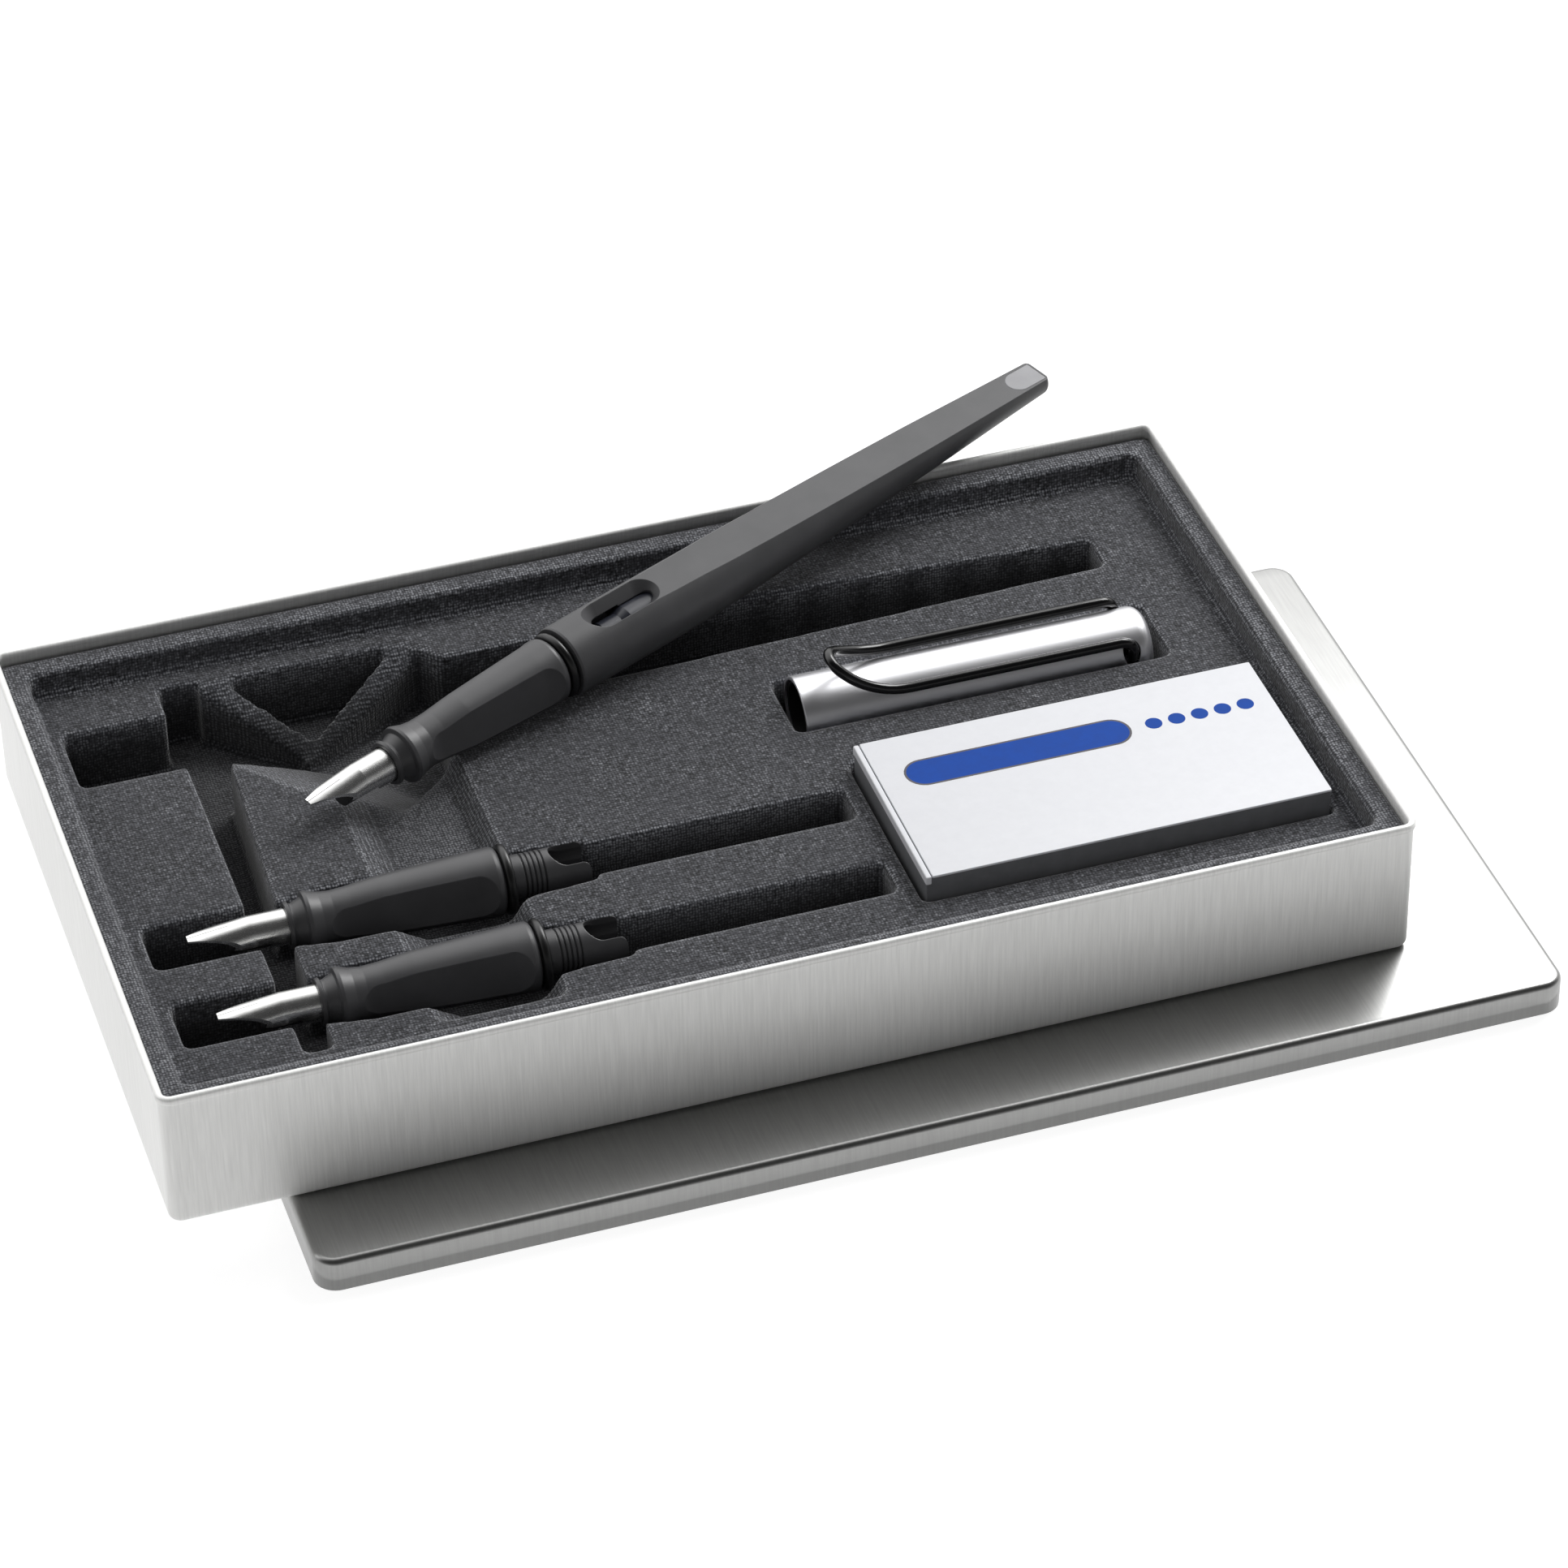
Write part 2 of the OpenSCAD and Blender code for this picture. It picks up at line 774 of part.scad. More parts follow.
box_lid();
tray();
insert_base();
insert_bed();
insert_border();
pen_barrel();
barrel_inlay();
pen_seal_ring();
pen_grip();
pen_feed();
pen_nib();
pen_cartridge();
cap_shell();
cap_liner();
cap_finial();
cap_clip();
spare_grip(0);  // spare_a_grip
spare_seal_ring(0);  // spare_a_seal_ring
spare_feed(0);  // spare_a_feed
spare_nib(0);  // spare_a_nib
spare_grip(1);  // spare_b_grip
spare_seal_ring(1);  // spare_b_seal_ring
spare_feed(1);  // spare_b_feed
spare_nib(1);  // spare_b_nib
ink_carton();
boxed_cartridge(0);  // cartridge_1
boxed_cartridge(1);  // cartridge_2
boxed_cartridge(2);  // cartridge_3
boxed_cartridge(3);  // cartridge_4
boxed_cartridge(4);  // cartridge_5
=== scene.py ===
import math

import bmesh
import bpy
from mathutils import Matrix, Vector, noise


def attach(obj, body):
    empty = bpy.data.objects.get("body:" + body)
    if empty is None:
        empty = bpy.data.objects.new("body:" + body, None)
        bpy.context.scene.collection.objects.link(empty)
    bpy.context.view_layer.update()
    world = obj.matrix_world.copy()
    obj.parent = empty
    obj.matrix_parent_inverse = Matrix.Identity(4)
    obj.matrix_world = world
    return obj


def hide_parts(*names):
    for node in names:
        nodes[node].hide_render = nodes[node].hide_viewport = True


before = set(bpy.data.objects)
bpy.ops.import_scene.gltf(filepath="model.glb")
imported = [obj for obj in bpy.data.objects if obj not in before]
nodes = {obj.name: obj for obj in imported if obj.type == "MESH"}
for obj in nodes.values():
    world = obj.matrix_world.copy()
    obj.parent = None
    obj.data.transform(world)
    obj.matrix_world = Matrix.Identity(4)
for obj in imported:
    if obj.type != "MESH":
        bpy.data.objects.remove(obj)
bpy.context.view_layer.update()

# Sizes below are in millimetres from the tray's front left corner, with the floor at 0.
# MID is where the frame has its origin.
MM = 0.001
MID = Vector((118.175, 60.8, 0))
SHEET = 0.6

LID_LOW, LID_FAR, LID_TOP = (19.7, -16.8), (236.7, 110.2), 6.1
LID_CORNER, LID_EDGE = 4, 1.2

# The tray stands on the lid, and its wall ends inside the bead of the rim
TRAY_LOW, TRAY_FAR, TRAY_BOTTOM, RIM_TOP = (0, 0), (215, 125), LID_TOP, 32.8
TRAY_CORNER, TRAY_EDGE = 2.2, 1.5
WALL_TOP = RIM_TOP - 0.7
RIM_OUT, RIM_WIDE, RIM_HIGH, RIM_ROUND = 0.35, 1.35, 1.5, 0.63

# The heights at which the bed and the border of the foam stand on the layer below
BED_FOOT, BORDER_FOOT = 13.6, 25.6


# ---- colour and nodes

def linear(code):
    """A colour written as an sRGB hex code, as Blender's linear values."""
    parts = [int(code[i:i + 2], 16) / 255 for i in (1, 3, 5)]
    return [p / 12.92 if p <= 0.04045 else ((p + 0.055) / 1.055) ** 2.4 for p in parts] + [1]


def add(tree, kind, sockets=None, stops=(), **settings):
    """Adds a node with its settings, sets or links its sockets by name or number, and places its colour stops."""
    made = tree.nodes.new("ShaderNode" + kind)
    for name, value in settings.items():
        setattr(made, name, value)
    for key, value in (sockets or {}).items():
        if isinstance(value, bpy.types.Node):
            value = value.outputs[0]
        if isinstance(value, bpy.types.NodeSocket):
            tree.links.new(value, made.inputs[key])
        else:
            made.inputs[key].default_value = value
    if stops:
        cells = made.color_ramp.elements
        while len(cells) < len(stops):
            cells.new(0.5)
        for cell, (where, code) in zip(cells, stops):
            cell.position = where
            cell.color = linear(code)
    return made


def bare_tree(owner):
    """Gives a material or the world an empty node tree."""
    owner.use_nodes = True
    owner.node_tree.nodes.clear()
    return owner.node_tree


def start_material(name):
    """A new material. Returns it with its tree and the place on the piece."""
    mat = bpy.data.materials.new(name)
    tree = bare_tree(mat)
    return mat, tree, add(tree, "TexCoord").outputs["Object"]


def grain(tree, place, size, stretch=(1, 1, 1), detail=2, rough=0.5):
    """Noise whose lumps are size millimetres across, drawn out by stretch along each axis."""
    scale = [1 / (size * MM * s) for s in stretch]
    spread = add(tree, "Mapping", {"Vector": place, "Scale": scale})
    return add(tree, "TexNoise", {"Vector": spread, "Scale": 1, "Detail": detail, "Roughness": rough})


def relief(tree, height, depth, strength=1.0, edge=0.0):
    """Raises a skin by depth where height is 1, and rounds its sharp edges to a radius of edge, in millimetres."""
    sockets = {"Height": height, "Distance": depth * MM, "Strength": strength}
    if edge:
        sockets["Normal"] = add(tree, "Bevel", {"Radius": edge * MM}, samples=6)
    return add(tree, "Bump", sockets)


# ---- materials

def brushed_tinplate(name, colour, rough, haze, depth):
    # Tinplate, brushed over the short side of the box before pressing. The brushing gives faint upright
    # hair lines, a soft reflection and, under it, a wide haze (the second skin) that keeps it silvery.
    # Real hair lines lie under 0.1 mm apart, and are drawn 0.34 mm apart here so that they show.
    mat, tree, place = start_material(name)
    apart, length = 0.34, 24
    across = grain(tree, place, apart, stretch=(1, length, length), detail=3, rough=0.55)
    along = grain(tree, place, apart, stretch=(length, 1, length), detail=3, rough=0.55)
    # The lines run over the top and up every wall, so the walls at the ends take lines of their own
    facing = add(tree, "SeparateXYZ", {0: add(tree, "TexCoord").outputs["Normal"]})
    sideways = add(tree, "Math", {0: facing}, operation="ABSOLUTE")
    end_wall = add(tree, "MapRange", {"Value": sideways, "From Min": 0.6, "From Max": 0.8})
    lines = add(tree, "Mix", {0: end_wall, 2: across, 3: along}, data_type="FLOAT")

    tone = add(tree, "ValToRGB", {"Fac": lines}, stops=((0.3, colour[0]), (0.7, colour[1])))
    cloud = grain(tree, place, 30)
    sheen = add(tree, "MapRange", {"Value": cloud, "To Min": rough - 0.04, "To Max": rough + 0.04})
    bump = relief(tree, lines, depth)
    skin = add(tree, "BsdfPrincipled", {"Metallic": 1.0, "Base Color": tone, "Roughness": sheen, "Normal": bump})
    wide = add(tree, "BsdfPrincipled", {"Metallic": 1.0, "Base Color": tone, "Roughness": 0.95, "Normal": bump})
    add(tree, "OutputMaterial", {"Surface": add(tree, "MixShader", {0: haze, 1: skin, 2: wide})})
    return mat


def knit_over_foam(name):
    # Charcoal polyester jersey laminated on foam, with stitches 0.5 mm apart. Light and dark yarns give
    # it a melange.
    mat, tree, place = start_material(name)
    wale, course, wander = 0.5 * MM, 0.56 * MM, 0.35 * MM
    drift = grain(tree, place, 2.5, detail=3).outputs["Color"]
    push = add(tree, "VectorMath", {0: drift, 1: (0.5, 0.5, 0.5)}, operation="SUBTRACT")
    shift = add(tree, "VectorMath", {0: push, "Scale": wander}, operation="SCALE")
    moved = add(tree, "VectorMath", {0: place, 1: shift}, operation="ADD")
    rows = add(tree, "Mapping", {"Vector": moved, "Scale": (1 / wale, 1 / course, 1 / course)})
    stitch = add(tree, "TexVoronoi", {"Vector": rows, "Scale": 1, "Randomness": 0.38}, feature="F1")
    yarn = grain(tree, place, 0.5, stretch=(2, 1, 1), detail=3, rough=0.7)
    fuzz = add(tree, "MapRange", {"Value": yarn, "To Min": -0.42, "To Max": 0.42})
    fibre = add(tree, "Math", {0: stitch.outputs["Distance"], 1: fuzz}, operation="ADD")

    melange = add(tree, "ValToRGB", {"Fac": fibre},
                  stops=((0.1, "#a3a5aa"), (0.42, "#56575c"), (0.75, "#17181a")))
    patch = grain(tree, place, 9, detail=3)
    worn = add(tree, "MapRange", {"Value": patch, "From Min": 0.35, "From Max": 0.7, "To Min": 0, "To Max": 0.4})
    shade = add(tree, "Mix", {"Factor": worn, 6: melange, 7: linear("#3a3b40")}, data_type="RGBA",
                blend_type="MIX")
    # Painted shade: the fabric is made darker the lower it lies, down the walls and on the floors of the recesses,
    # where they fall into shadow
    height = add(tree, "SeparateXYZ", {0: place}).outputs[2]
    painted_recess_shade = add(tree, "MapRange", {"Value": height, "From Min": 18.5 * MM, "From Max": 25.2 * MM,
                                  "To Min": 0.28, "To Max": 1.0}, interpolation_type="SMOOTHSTEP")
    tone = add(tree, "VectorMath", {0: shade.outputs[2], "Scale": painted_recess_shade}, operation="SCALE")

    raised = add(tree, "MapRange", {"Value": fibre, "To Min": 1, "To Max": 0})
    skin = add(tree, "BsdfPrincipled", {"Base Color": tone, "Roughness": 0.95, "Specular IOR Level": 0.15,
                                        "Sheen Weight": 0.35, "Sheen Roughness": 0.5,
                                        "Normal": relief(tree, raised, 0.2, strength=0.9)})
    add(tree, "OutputMaterial", {"Surface": skin})
    return mat


def moulded_abs(name, colour, rough):
    # ABS, moulded in a spark-eroded tool: a fine matt grain, a soft sheen and edges that catch the light.
    # The grain is drawn 0.16 mm wide, coarser than the real one, so that it shows.
    mat, tree, place = start_material(name)
    cloud = grain(tree, place, 6, detail=3)
    tone = add(tree, "ValToRGB", {"Fac": cloud}, stops=((0.3, colour[0]), (0.7, colour[1])))
    pits = grain(tree, place, 0.16, rough=0.7)
    sheen = add(tree, "MapRange", {"Value": pits, "To Min": rough - 0.06, "To Max": rough + 0.08})
    skin = add(tree, "BsdfPrincipled", {"Base Color": tone, "Roughness": sheen, "IOR": 1.54,
                                        "Normal": relief(tree, pits, 0.012, edge=0.22)})
    add(tree, "OutputMaterial", {"Surface": skin})
    return mat


def polished_steel(name, colour, rough):
    # Stainless steel, ground along the nib and polished: bright with hair lines along its length.
    # The lines are drawn 0.09 mm wide, coarser than the real ones, so that they show.
    mat, tree, place = start_material(name)
    lines = grain(tree, place, 0.09, stretch=(14, 1, 1), detail=3)
    smudge = grain(tree, place, 1.6, detail=3)
    tone = add(tree, "ValToRGB", {"Fac": smudge}, stops=((0.3, colour[0]), (0.75, colour[1])))
    sheen = add(tree, "MapRange", {"Value": lines, "To Min": rough - 0.05, "To Max": rough + 0.08})
    skin = add(tree, "BsdfPrincipled", {"Metallic": 1.0, "Base Color": tone, "Roughness": sheen,
                                        "Normal": relief(tree, lines, 0.0015)})
    add(tree, "OutputMaterial", {"Surface": skin})
    return mat


def satin_aluminium(name):
    # Aluminium, turned, blasted and anodised in its own colour: a very fine even grain
    mat, tree, place = start_material(name)
    pits = grain(tree, place, 0.12, rough=0.7)
    sheen = add(tree, "MapRange", {"Value": pits, "To Min": 0.33, "To Max": 0.43})
    skin = add(tree, "BsdfPrincipled", {"Metallic": 1.0, "Base Color": linear("#e6e6e9"), "Roughness": sheen,
                                        "Normal": relief(tree, pits, 0.003, edge=0.3)})
    add(tree, "OutputMaterial", {"Surface": skin})
    return mat


def smooth_dark(name, colour, rough):
    # Lacquer, rubber or polythene: dark and smooth on a faint wave, with small soft highlights
    mat, tree, place = start_material(name)
    wave = grain(tree, place, 1.2)
    sheen = add(tree, "MapRange", {"Value": wave, "To Min": rough - 0.03, "To Max": rough + 0.05})
    skin = add(tree, "BsdfPrincipled", {"Base Color": linear(colour), "Roughness": sheen, "IOR": 1.5,
                                        "Normal": relief(tree, wave, 0.004)})
    add(tree, "OutputMaterial", {"Surface": skin})
    return mat


def coated_board(name, light, dark, rough=0.42, gloss=0.5):
    # Folding boxboard with a clay coat: flat colour with a faint cloud from the fibres. Print dulls its gloss.
    mat, tree, place = start_material(name)
    cloud = grain(tree, place, 2.4, detail=4, rough=0.65)
    tone = add(tree, "ValToRGB", {"Fac": cloud}, stops=((0.3, dark), (0.7, light)))
    sheen = add(tree, "MapRange", {"Value": cloud, "To Min": rough - 0.05, "To Max": rough + 0.08})
    skin = add(tree, "BsdfPrincipled", {"Base Color": tone, "Roughness": sheen, "IOR": 1.45,
                                        "Specular IOR Level": gloss,
                                        "Normal": relief(tree, grain(tree, place, 0.25), 0.004)})
    add(tree, "OutputMaterial", {"Surface": skin})
    return mat


LOOKS = {
    # The lid is the same tinplate as the tray: its grey tone is painted shade, darker than the metal's own colour
    "lid": brushed_tinplate("tinplate_brushed_lid_painted_shade", ("#969695", "#9e9e9d"), 0.3, haze=0.05, depth=0.0004),
    # The tray's near-white tone is painted light, brighter than the metal's own colour, so that its walls come out
    # light
    "tray": brushed_tinplate("tinplate_brushed_tray_painted_light", ("#efefee", "#f6f6f5"), 0.36, haze=0.85, depth=0.0012),
    "insert": knit_over_foam("jersey_charcoal_on_foam"),
    "barrel": moulded_abs("abs_matt_anthracite", ("#3c3c3e", "#444446"), 0.48),
    "grip": moulded_abs("abs_satin_black", ("#3a3a3c", "#404042"), 0.4),
    "feed": moulded_abs("abs_black_feed", ("#151516", "#1b1b1c"), 0.38),
    "inlay": moulded_abs("abs_grey_inlay", ("#8b8b8e", "#97979a"), 0.4),
    "seal": smooth_dark("nitrile_rubber_black", "#0d0d0e", 0.32),
    "nib": polished_steel("steel_polished_nib", ("#d6d6d4", "#e2e2e1"), 0.24),
    "cap": satin_aluminium("aluminium_anodised_satin"),
    "liner": moulded_abs("abs_black_liner", ("#101011", "#161617"), 0.45),
    "finial": smooth_dark("abs_gloss_black_finial", "#0f0f10", 0.2),
    "clip": smooth_dark("steel_black_lacquer_clip", "#0a0a0b", 0.16),
    "cartridge": smooth_dark("polythene_ink_cartridge", "#2a2c34", 0.3),
    "board": coated_board("boxboard_white_coated", "#e5e6ea", "#e1e2e6"),
    "board_side": coated_board("boxboard_grey_side", "#77787b", "#6e6f72"),
    "print_blue": coated_board("offset_print_blue", "#1a4ca8", "#18469c", rough=0.6, gloss=0.15),
    "print_grey": coated_board("offset_print_grey", "#6c6a6e", "#626065", rough=0.6, gloss=0.15),
}


# ---- pieces

def finish_piece(bm, name, body, look, sharp=35, replaces=()):
    """Turns a mesh in millimetres from the tray's corner into a piece in the set's own frame."""
    bmesh.ops.translate(bm, vec=-MID, verts=bm.verts)
    bmesh.ops.scale(bm, vec=(MM, MM, MM), verts=bm.verts)
    mesh = bpy.data.meshes.new(name)
    bm.to_mesh(mesh)
    bm.free()
    mesh.materials.append(LOOKS[look])
    mesh.polygons.foreach_set("use_smooth", [True] * len(mesh.polygons))
    mesh.set_sharp_from_angle(angle=math.radians(sharp))
    made = bpy.data.objects.new(name, mesh)
    bpy.context.scene.collection.objects.link(made)
    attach(made, body)
    if replaces:
        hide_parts(*replaces)
    return made


def lowest(bm):
    return min(bm.faces, key=lambda face: face.calc_center_median().z)


def highest(bm):
    return max(bm.faces, key=lambda face: face.calc_center_median().z)


def plate(bm, low, far, radius, z, segments=10):
    """A flat face with round corners. Returns it."""
    corners = [bm.verts.new((x, y, z)) for x, y in
               ((low[0], low[1]), (far[0], low[1]), (far[0], far[1]), (low[0], far[1]))]
    bm.faces.new(corners)
    bmesh.ops.bevel(bm, geom=corners, offset=radius, affect="VERTICES", segments=segments, profile=0.5,
                    material=-1)
    bm.faces.ensure_lookup_table()
    return max(bm.faces, key=lambda face: face.index)


def raise_face(bm, face, by):
    """Extrudes a face straight up or down and returns its moved copy."""
    made = bmesh.ops.extrude_face_region(bm, geom=[face])["geom"]
    moved = [part for part in made if isinstance(part, bmesh.types.BMVert)]
    bmesh.ops.translate(bm, vec=(0, 0, by), verts=moved)
    return next(part for part in made if isinstance(part, bmesh.types.BMFace))


def round_edges(bm, edges, radius, segments=5):
    """Rounds edges to a radius in millimetres."""
    bmesh.ops.bevel(bm, geom=edges, offset=radius, affect="EDGES", segments=segments, profile=0.5,
                    material=-1, clamp_overlap=True)


def block(low, far, radius, bottom, top, round_top=0, round_bottom=0, segments=10):
    """A block with round upright corners and round top or bottom edges."""
    bm = bmesh.new()
    under = plate(bm, low, far, radius, bottom, segments)
    over = raise_face(bm, under, top - bottom)
    bmesh.ops.recalc_face_normals(bm, faces=bm.faces)
    if round_top:
        round_edges(bm, list(over.edges), round_top)
    if round_bottom:
        round_edges(bm, list(lowest(bm).edges), round_bottom)
    return bm


def pressed_lid():
    """The lid: a shallow pressed box, open below, with its top edge rolled over."""
    bm = block(LID_LOW, LID_FAR, LID_CORNER, 0, LID_TOP, round_top=LID_EDGE)
    bmesh.ops.delete(bm, geom=[lowest(bm)], context="FACES")
    made = finish_piece(bm, "lid_pressed", "lid", "lid", replaces=["box_lid"])
    wall = made.modifiers.new("sheet", "SOLIDIFY")
    wall.thickness = SHEET * MM
    wall.offset = -1


def drawn_tray():
    """The tray: a drawn box with a hollow that the insert fills."""
    bm = block(TRAY_LOW, TRAY_FAR, TRAY_CORNER, TRAY_BOTTOM, WALL_TOP, round_bottom=TRAY_EDGE)
    over = highest(bm)
    bmesh.ops.inset_region(bm, faces=[over], thickness=SHEET, use_even_offset=True)
    raise_face(bm, over, -(WALL_TOP - TRAY_BOTTOM - SHEET))
    bmesh.ops.delete(bm, geom=[over], context="FACES_ONLY")
    bmesh.ops.recalc_face_normals(bm, faces=bm.faces)
    finish_piece(bm, "tray_drawn", "tray", "tray", replaces=["tray"])


def rolled_rim():
    """The tray's rim: a ring of its own over the edge of the wall, rounded to a bead."""
    bm = bmesh.new()
    low = [c - RIM_OUT for c in TRAY_LOW]
    far = [c + RIM_OUT for c in TRAY_FAR]
    under = plate(bm, low, far, TRAY_CORNER + RIM_OUT, RIM_TOP - RIM_HIGH)
    raise_face(bm, under, RIM_HIGH)
    bmesh.ops.recalc_face_normals(bm, faces=bm.faces)
    faces = [lowest(bm), highest(bm)]
    loops = []
    for face in faces:
        bmesh.ops.inset_region(bm, faces=[face], thickness=RIM_WIDE, use_even_offset=True)
        loops += list(face.edges)
    bmesh.ops.delete(bm, geom=faces, context="FACES_ONLY")
    bmesh.ops.bridge_loops(bm, edges=loops)
    bmesh.ops.recalc_face_normals(bm, faces=bm.faces)
    # The four long creases turn by a right angle, the facets of a corner by far less
    crease_turn = 1.2
    creases = [edge for edge in bm.edges if len(edge.link_faces) == 2 and edge.calc_face_angle() > crease_turn]
    round_edges(bm, creases, RIM_ROUND, segments=6)
    finish_piece(bm, "tray_rim", "tray", "tray", sharp=60)


def soft_insert():
    """The foam insert: the three CAD layers made one and softened, so that its edges are round."""
    bm = bmesh.new()
    for name, foot in (("insert_base", None), ("insert_bed", BED_FOOT), ("insert_border", BORDER_FOOT)):
        layer = bmesh.new()
        layer.from_mesh(nodes[name].data)
        bmesh.ops.remove_doubles(layer, verts=layer.verts, dist=1e-6)
        if foot:
            # The foot goes 1 mm into the layer below, so that the two become one
            for vert in layer.verts:
                if abs(vert.co.z - foot * MM) < 1e-5:
                    vert.co.z -= MM
        held = bpy.data.meshes.new(name + "_copy")
        layer.to_mesh(held)
        layer.free()
        bm.from_mesh(held)
        bpy.data.meshes.remove(held)
    mesh = bpy.data.meshes.new("insert_soft")
    bm.to_mesh(mesh)
    bm.free()
    made = bpy.data.objects.new("insert_soft", mesh)
    bpy.context.scene.collection.objects.link(made)
    cells = made.modifiers.new("cells", "REMESH")
    cells.mode = "VOXEL"
    cells.voxel_size = 0.6 * MM
    soften = made.modifiers.new("soften", "SMOOTH")
    soften.factor = 0.5
    soften.iterations = 10
    thin = made.modifiers.new("thin", "DECIMATE")
    thin.ratio = 0.36
    bpy.context.view_layer.update()
    done = bpy.data.meshes.new_from_object(made.evaluated_get(bpy.context.evaluated_depsgraph_get()))
    made.modifiers.clear()
    made.data = done
    # Foam is never quite flat: it swells and sinks by up to 0.06 mm, in waves of 14 mm.
    # All normals are read first, because a moved vertex would turn those of its neighbours.
    swell, wave = 0.06 * MM, 14 * MM
    ways = [vert.normal.copy() for vert in done.vertices]
    for vert, way in zip(done.vertices, ways):
        vert.co += way * noise.noise(vert.co / wave) * swell
    done.materials.clear()
    done.materials.append(LOOKS["insert"])
    done.polygons.foreach_set("use_smooth", [True] * len(done.polygons))
    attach(made, "tray")
    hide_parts("insert_base", "insert_bed", "insert_border")


def clip_side(side):
    """One half of the clip's centre line, in the cap's own frame: the lifted loop, the leg and the bent foot."""
    leg_y, leg_z, splay = 5.15, 6.4, 0.2
    loop_x, loop_long, loop_lift, loop_fullness, lift_fullness = 5.7, 13.5, 5.6, 0.8, 2.1
    foot_x, foot_z, bend = 60.3, 1.8, 2.6
    loop_steps, bend_steps = 14, 8
    points = []
    for i in range(loop_steps + 1):
        turn = math.radians(90 * i / loop_steps)
        near = math.cos(turn)
        points.append((loop_x + loop_long * (1 - near), side * leg_y * math.sin(turn) ** loop_fullness,
                       leg_z + loop_lift * near ** lift_fullness))
    for x in range(3, 38, 4):
        points.append((loop_x + loop_long + x, side * leg_y, leg_z))
    for i in range(bend_steps + 1):
        turn = math.radians(90 * i / bend_steps)
        points.append((foot_x - bend * (1 - math.sin(turn)), side * (leg_y + splay * math.sin(turn)),
                       leg_z - bend * (1 - math.cos(turn))))
    points.append((foot_x, side * (leg_y + splay), foot_z))
    return points


def wire_clip():
    """The bent wire clip, swept along its centre line."""
    cap_end, cap_roll, wire_radius = Vector((130.3, 74.4, 23.4)), 9, 0.95
    roll = Matrix.Rotation(math.radians(cap_roll), 3, "X")
    line = list(reversed(clip_side(-1)))[:-1] + clip_side(1)
    curve = bpy.data.curves.new("clip_line", "CURVE")
    curve.dimensions = "3D"
    curve.bevel_depth = wire_radius
    curve.bevel_resolution = 6
    curve.use_fill_caps = True
    spline = curve.splines.new("POLY")
    spline.points.add(len(line) - 1)
    for point, at in zip(spline.points, line):
        point.co = (*(cap_end + roll @ Vector(at)), 1)
    holder = bpy.data.objects.new("clip_line", curve)
    bpy.context.scene.collection.objects.link(holder)
    bpy.context.view_layer.update()
    mesh = bpy.data.meshes.new_from_object(holder)
    bm = bmesh.new()
    bm.from_mesh(mesh)
    bpy.data.objects.remove(holder)
    bpy.data.curves.remove(curve)
    bpy.data.meshes.remove(mesh)
    bmesh.ops.remove_doubles(bm, verts=bm.verts, dist=1e-4)
    bmesh.ops.recalc_face_normals(bm, faces=bm.faces)
    finish_piece(bm, "clip_wire_bent", "clip", "clip", sharp=60, replaces=["cap_clip"])


def paper_carton():
    """The ink carton: a box whose top panel stands proud of the sides, with a fold at its left end."""
    low, far, floor, top = (134.2, 16.9), (206.6, 54.9), 20.8, 29.8
    board, proud, joint = 0.4, 0.15, 0.12
    fold_wide, fold_high, fold_drop = 1.0, 1.5, 0.1
    bm = block([low[0] + proud, low[1] + proud], [far[0] - proud, far[1] - proud], 0.2,
               floor, top - board - joint, round_bottom=0.15, segments=3)
    finish_piece(bm, "carton_sides", "ink_pack", "board_side", replaces=["ink_carton"])
    bm = block([low[0] + fold_wide + proud, low[1]], far, 0.25, top - board, top - 0.02, round_top=0.12,
               segments=3)
    finish_piece(bm, "carton_top", "ink_pack", "board")
    bm = block(low, [low[0] + fold_wide, far[1]], 0.25, top - fold_drop - fold_high, top - fold_drop,
               round_top=0.3, segments=3)
    finish_piece(bm, "carton_fold", "ink_pack", "board")

    # A plain print: one long bar with a grey outline, and a dot for each cartridge
    middle, ink = low[1] + 27, 0.03

    def mark(name, look, start, length, width, z):
        near = [low[0] + start, middle - width / 2]
        away = [low[0] + start + length, middle + width / 2]
        mark_bm = block(near, away, width / 2 - 0.01, z - ink, z, segments=8)
        finish_piece(mark_bm, name, "ink_pack", look)

    mark("carton_bar_line", "print_grey", 5.6, 40.8, 7.2, top - 0.005)
    mark("carton_bar", "print_blue", 6.0, 40.0, 6.4, top)
    for i in range(5):
        mark("carton_dot_%d" % (i + 1), "print_blue", 49.1 + 4.2 * i, 3, 3, top)


def give_looks():
    """The finishes of the CAD nodes that show as they are."""
    looks = {
        "pen_barrel": "barrel", "barrel_inlay": "inlay", "pen_cartridge": "cartridge",
        "cap_shell": "cap", "cap_liner": "liner", "cap_finial": "finial",
    }
    for unit in ("pen", "spare_a", "spare_b"):
        looks.update({unit + "_grip": "grip", unit + "_seal_ring": "seal", unit + "_feed": "feed",
                      unit + "_nib": "nib"})
    for i in range(5):
        looks["cartridge_%d" % (i + 1)] = "cartridge"
    for name, look in looks.items():
        for slot in nodes[name].material_slots:
            slot.material = LOOKS[look]


# ---- studio, in metres in the set's own frame

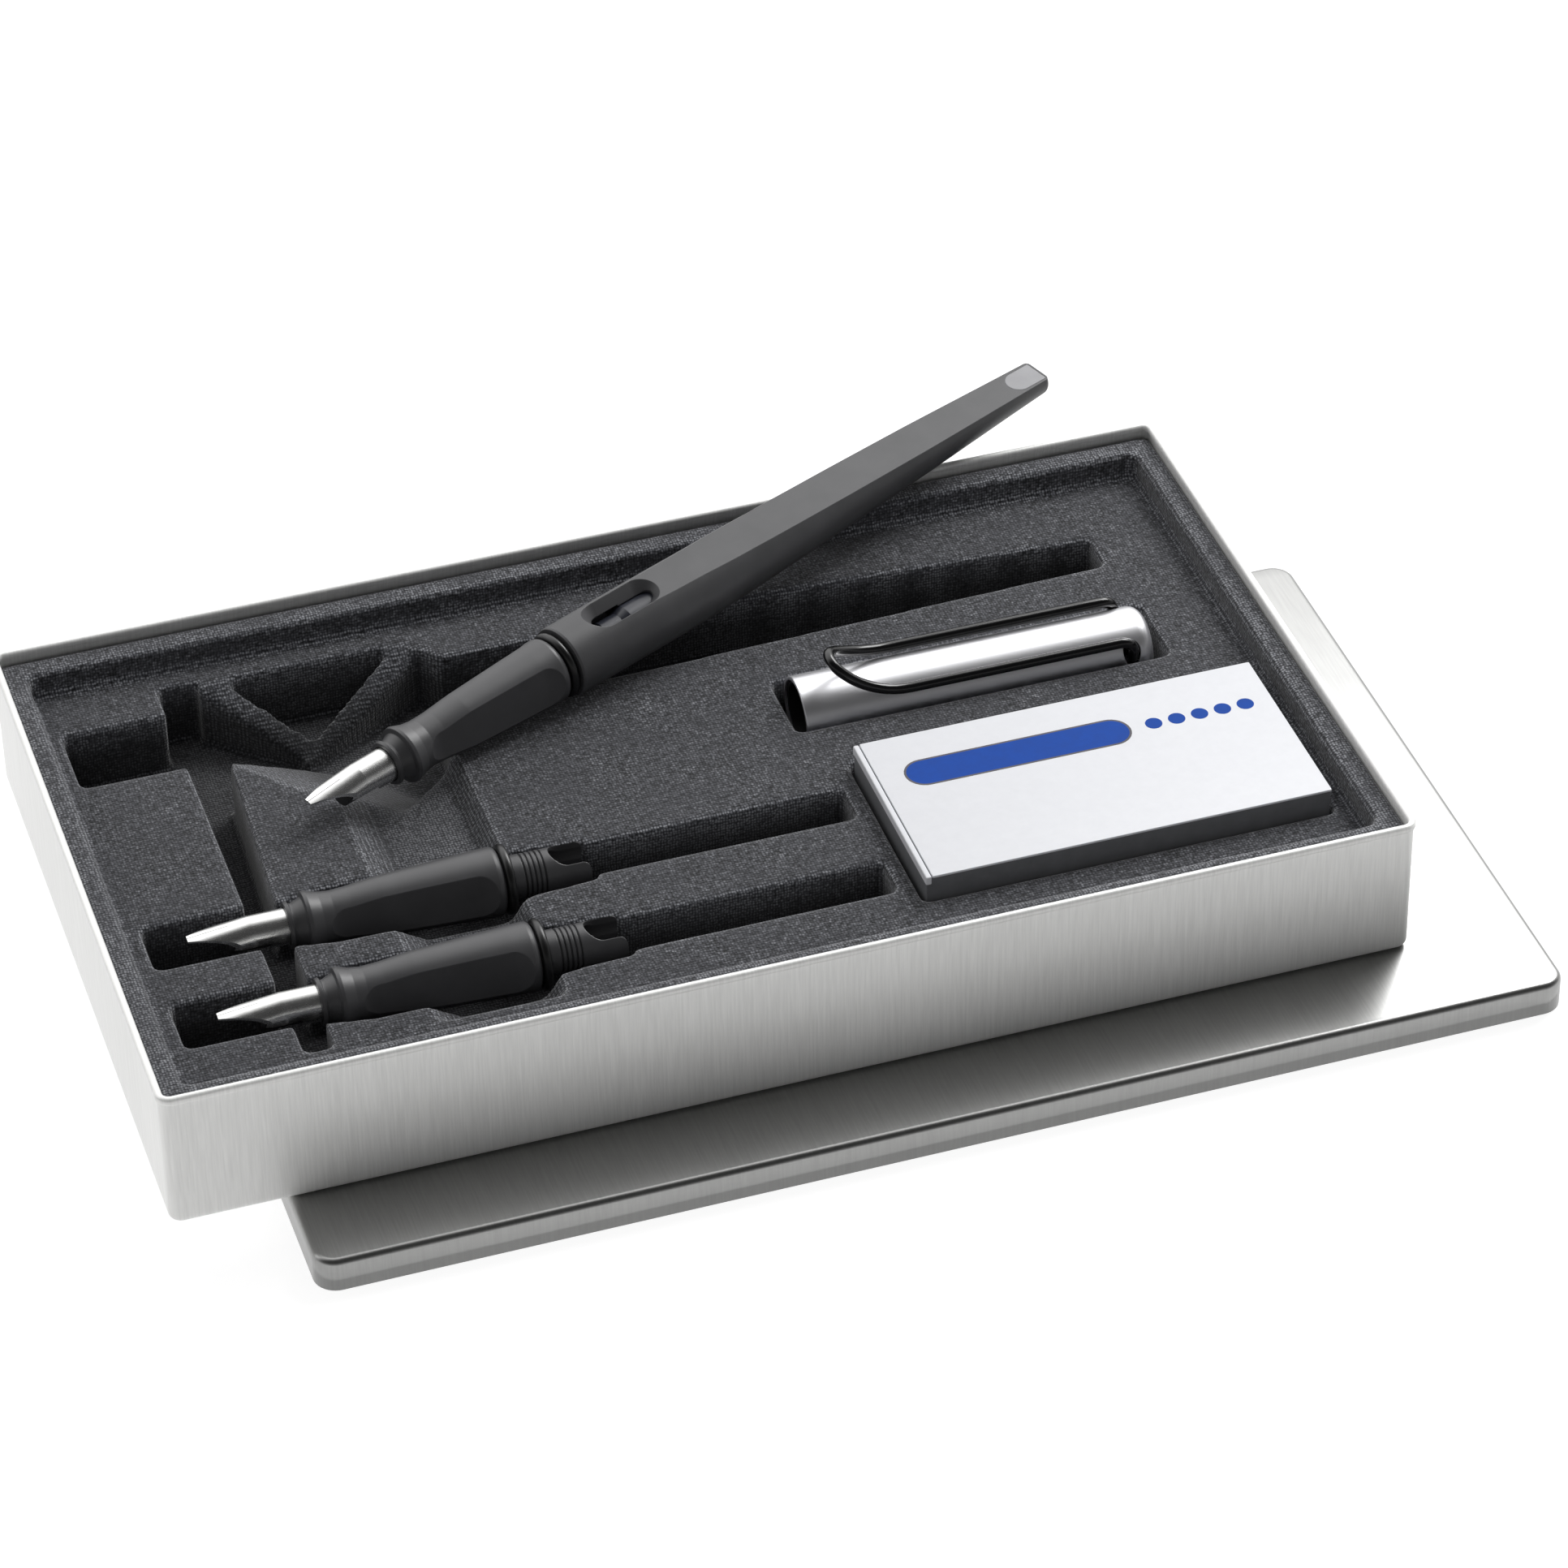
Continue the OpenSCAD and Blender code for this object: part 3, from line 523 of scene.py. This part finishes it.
def room():
    """A white room to the camera. To the object it is pale all round, and metal mirrors it dim in front."""
    world = bpy.data.worlds.new("room")
    bpy.context.scene.world = world
    tree = bare_tree(world)
    way = add(tree, "SeparateXYZ", {0: add(tree, "TexCoord").outputs["Generated"]})
    ahead, up = way.outputs[1], way.outputs[2]
    # Smooth pieces mirror a dim front and a bright back over a grey skyline, matt ones are lit from all round
    back = add(tree, "MapRange", {"Value": ahead, "From Min": -0.15, "From Max": 0.6,
                                  "To Min": 0.05, "To Max": 2.2}, interpolation_type="SMOOTHSTEP")
    above = add(tree, "MapRange", {"Value": up, "From Min": 0, "From Max": 0.5})
    mirrored = add(tree, "Mix", {0: above, 2: 0.5, 3: back}, data_type="FLOAT")
    soft = add(tree, "MapRange", {"Value": ahead, "From Min": -1, "From Max": 1, "To Min": 0.3, "To Max": 0.6})
    path = add(tree, "LightPath")
    felt = add(tree, "Mix", {0: path.outputs["Is Diffuse Ray"], 2: mirrored, 3: soft}, data_type="FLOAT")
    seen = add(tree, "Mix", {0: path.outputs["Is Camera Ray"], 2: felt, 3: 1.0}, data_type="FLOAT")
    light = add(tree, "Background", {"Color": (1, 1, 1, 1), "Strength": seen})
    add(tree, "OutputWorld", {"Surface": light})


def softbox():
    """One soft lamp over the set, behind it on the right."""
    lamp = bpy.data.lights.new("softbox", "AREA")
    lamp.shape = "RECTANGLE"
    lamp.size, lamp.size_y = 0.4, 0.4
    lamp.energy = 4.5
    hung = bpy.data.objects.new("softbox", lamp)
    hung.location = (0.5, 0.3, 0.6)
    hung.rotation_euler = (-hung.location).to_track_quat("-Z", "Y").to_euler()
    bpy.context.scene.collection.objects.link(hung)


def white_floor():
    """A wide sheet of white paper just under the set."""
    half, drop = 4, 0.2 * MM
    bm = bmesh.new()
    bmesh.ops.create_grid(bm, x_segments=4, y_segments=4, size=half)
    bmesh.ops.translate(bm, vec=(0, 0, -drop), verts=bm.verts)
    mesh = bpy.data.meshes.new("floor")
    bm.to_mesh(mesh)
    bm.free()
    floor = bpy.data.objects.new("floor", mesh)
    bpy.context.scene.collection.objects.link(floor)
    mat = bpy.data.materials.new("paper_white_floor")
    tree = bare_tree(mat)
    # Seen directly or in metal the paper is white with a faint shadow, and it lights the object as plain paper
    path = add(tree, "LightPath")
    sight = path.outputs["Is Camera Ray"]
    for kind in ("Is Glossy Ray", "Is Transmission Ray"):
        sight = add(tree, "Math", {0: sight, 1: path.outputs[kind]}, operation="MAXIMUM")
    paper = add(tree, "BsdfDiffuse", {"Color": linear("#f2f2f2")})
    dim = add(tree, "BsdfDiffuse", {"Color": linear("#9a9a9a")})
    glow = add(tree, "Emission", {"Color": (1, 1, 1, 1), "Strength": 0.85})
    white = add(tree, "AddShader", {0: dim, 1: glow})
    add(tree, "OutputMaterial", {"Surface": add(tree, "MixShader", {0: sight, 1: paper, 2: white})})
    mesh.materials.append(mat)


def camera():
    """The photograph's own view, as solved from the straight edges of the tray and the lid."""
    place = (-0.239765, -0.77447, 0.65463)
    ahead = Vector((0.23789, 0.75118, -0.61574)).normalized()
    right = ahead.cross(Vector((0.20211, 0.58178, 0.78784))).normalized()
    up = right.cross(ahead)
    data = bpy.data.cameras.new("view")
    data.lens = 137.87
    data.sensor_width = 36
    data.clip_start, data.clip_end = 0.05, 20
    made = bpy.data.objects.new("view", data)
    made.matrix_world = Matrix.Translation(place) @ Matrix((right, up, -ahead)).transposed().to_4x4()
    bpy.context.scene.collection.objects.link(made)
    bpy.context.scene.camera = made


give_looks()
pressed_lid()
drawn_tray()
rolled_rim()
soft_insert()
wire_clip()
paper_carton()
room()
softbox()
white_floor()
camera()
bpy.context.scene.view_settings.view_transform = "Standard"
